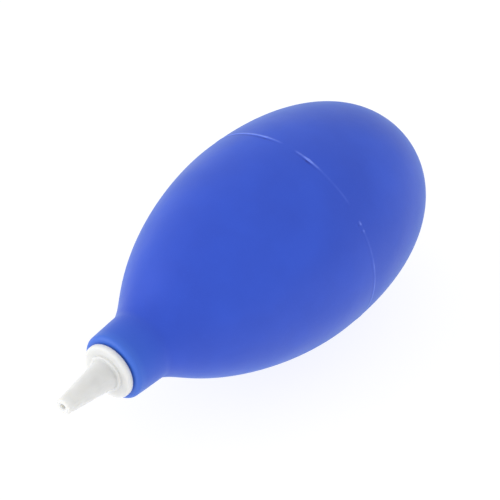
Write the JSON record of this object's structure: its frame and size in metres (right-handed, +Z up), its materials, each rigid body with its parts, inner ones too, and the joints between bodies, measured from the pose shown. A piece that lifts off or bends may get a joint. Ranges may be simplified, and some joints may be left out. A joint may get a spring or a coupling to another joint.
{
  "type": "dust blower bulb",
  "caption": "Hand-squeezed egg-shaped rubber bulb with a tapered plastic air nozzle in its neck and a one-way inlet valve in its tail, for blowing dust off small parts.",
  "frame": {"origin": "on the surface the blower lies on, under the middle of its bounding box", "axes": "+Z up; the blower lies on its belly with its axis along Y, the nozzle pointing to -Y and the inlet valve to +Y"},
  "size_m": [0.045, 0.0998, 0.045],
  "materials": {
    "bulb_rubber": "satin moulded rubber, blue, with a fine mould parting flash round the belly",
    "nozzle_plastic": "moulded white polyethylene, satin and slightly translucent",
    "valve_plastic": "moulded white plastic, satin",
    "disc_rubber": "dark grey soft rubber, matt"
  },
  "bodies": {
    "root": {"bulb": "bulb_rubber"},
    "nozzle": {"nozzle": "nozzle_plastic"},
    "inlet_valve": {"inlet_valve_body": "valve_plastic", "inlet_valve_cage": "valve_plastic"},
    "valve_disc": {"inlet_valve_disc": "disc_rubber"}
  },
  "joints": [
    {"name": "tail_press", "type": "slide", "parent": "root", "child": "inlet_valve", "axis": [0, -1, 0], "range_m": [0, 0.015], "stiffness_N_per_m": 800, "deforming": ["bulb"]},
    {"name": "disc_lift", "type": "slide", "parent": "inlet_valve", "child": "valve_disc", "axis": [0, -1, 0], "range_m": [0, 0.0008]},
    {"name": "nozzle_pull", "type": "slide", "parent": "root", "child": "nozzle", "axis": [0, -1, 0], "range_m": [0, 0.01]}
  ]
}
